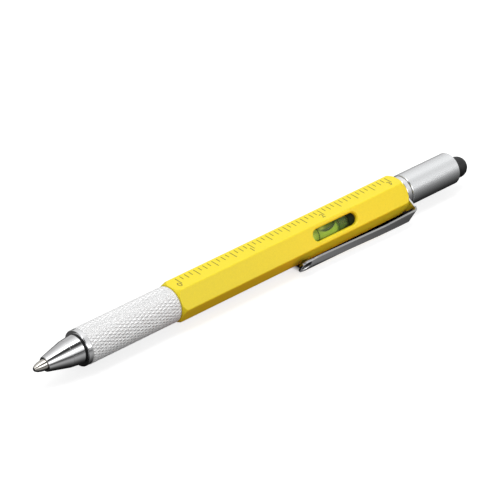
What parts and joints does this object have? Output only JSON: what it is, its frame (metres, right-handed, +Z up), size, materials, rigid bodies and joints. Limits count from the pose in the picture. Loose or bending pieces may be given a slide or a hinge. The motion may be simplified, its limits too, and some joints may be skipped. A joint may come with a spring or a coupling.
{
  "type": "multi tool pen",
  "caption": "Hexagonal pocket pen with an inch rule, a spirit level and a clip, a knurled twist grip that brings out the ball point, and a pull-off stylus cap over a screwdriver bit.",
  "frame": {"origin": "on the flat bottom face of the barrel, below the middle of the three inch rule", "axes": "+X along the pen from the writing tip towards the cap, +Z up out of the face with the rule, the window of the level and the clip towards -Y"},
  "size_m": [0.1541, 0.014, 0.0113],
  "materials": {
    "yellow_paint": "satin yellow enamel",
    "rule_ink": "dark print",
    "black_plastic": "matt black",
    "clear_acrylic": "clear",
    "level_fluid": "tinted liquid",
    "air": "bubble",
    "index_black": "black",
    "white_plastic": "natural acetal",
    "grip_metal": "knurled, plated",
    "brass": "turned",
    "steel": "ground",
    "seal_rubber": "smooth",
    "bright_chrome": "polished",
    "tip_metal": "polished nickel silver",
    "refill_brass": "drawn",
    "ink": "black ink",
    "grease": "clear grease",
    "socket_metal": "turned",
    "magnet": "nickel plated",
    "bit_steel": "hardened",
    "satin_aluminium": "satin",
    "black_rubber": "soft, matt"
  },
  "bodies": {
    "barrel": {"barrel": "yellow_paint", "rule_marks": "rule_ink", "vial_cradle": "black_plastic", "vial_body": "clear_acrylic", "vial_plug": "clear_acrylic", "vial_fluid": "level_fluid", "vial_index_rings": "index_black", "thrust_washer": "white_plastic", "twist_bush": "white_plastic", "guide_tube": "white_plastic", "clip_collar": "bright_chrome", "neck_ring": "bright_chrome", "tool_socket": "socket_metal", "socket_magnet": "magnet", "cap_o_ring": "seal_rubber"},
    "grip": {"grip_sleeve": "grip_metal", "grip_core": "brass", "snap_ring": "steel", "drag_o_ring": "seal_rubber", "nose_cone": "bright_chrome", "nose_ring": "bright_chrome", "cam_sleeve": "white_plastic"},
    "refill": {"refill_tip": "tip_metal", "refill_tube": "refill_brass", "ink_column": "ink", "ink_follower": "grease", "refill_carrier": "white_plastic", "carrier_pin": "steel"},
    "ball": {"writing_ball": "steel"},
    "clip": {"clip_arm": "bright_chrome"},
    "cap": {"cap": "satin_aluminium", "stylus_stud": "brass", "stylus_tip": "black_rubber"},
    "bit": {"screwdriver_bit": "bit_steel"},
    "bubble": {"vial_bubble": "air"}
  },
  "joints": [
    {"name": "grip_twist", "type": "hinge", "parent": "barrel", "child": "grip", "pos_m": [-0.05745, 0, 0.005], "axis": [1, 0, 0], "range_deg": [0, 180]},
    {"name": "refill_slide", "type": "slide", "parent": "barrel", "child": "refill", "axis": [1, 0, 0], "range_m": [0, 0.0048]},
    {"name": "ball_roll", "type": "hinge", "parent": "refill", "child": "ball", "pos_m": [-0.08656, 0, 0.005], "axis": [0, 1, 0], "continuous": true},
    {"name": "clip_flex", "type": "hinge", "parent": "barrel", "child": "clip", "pos_m": [0.04123, -0.00573, 0.00169], "axis": [0, -0.5, 0.866], "range_deg": [0, 3], "stiffness_Nm_per_rad": 1.6},
    {"name": "cap_pull", "type": "slide", "parent": "barrel", "child": "cap", "axis": [1, 0, 0], "range_m": [0, 0.06]},
    {"name": "bit_pull", "type": "slide", "parent": "barrel", "child": "bit", "axis": [1, 0, 0], "range_m": [0, 0.027]},
    {"name": "bubble_float", "type": "slide", "parent": "barrel", "child": "bubble", "axis": [1, 0, 0], "range_m": [-0.0025, 0.0025], "deforming": ["vial_fluid"]}
  ],
  "couplings": [
    {"joint": "grip_twist", "follows": "refill_slide", "rad_per_m": 654.49},
    {"joint": "bit_pull", "follows": "cap_pull", "ratio": 0.45}
  ]
}
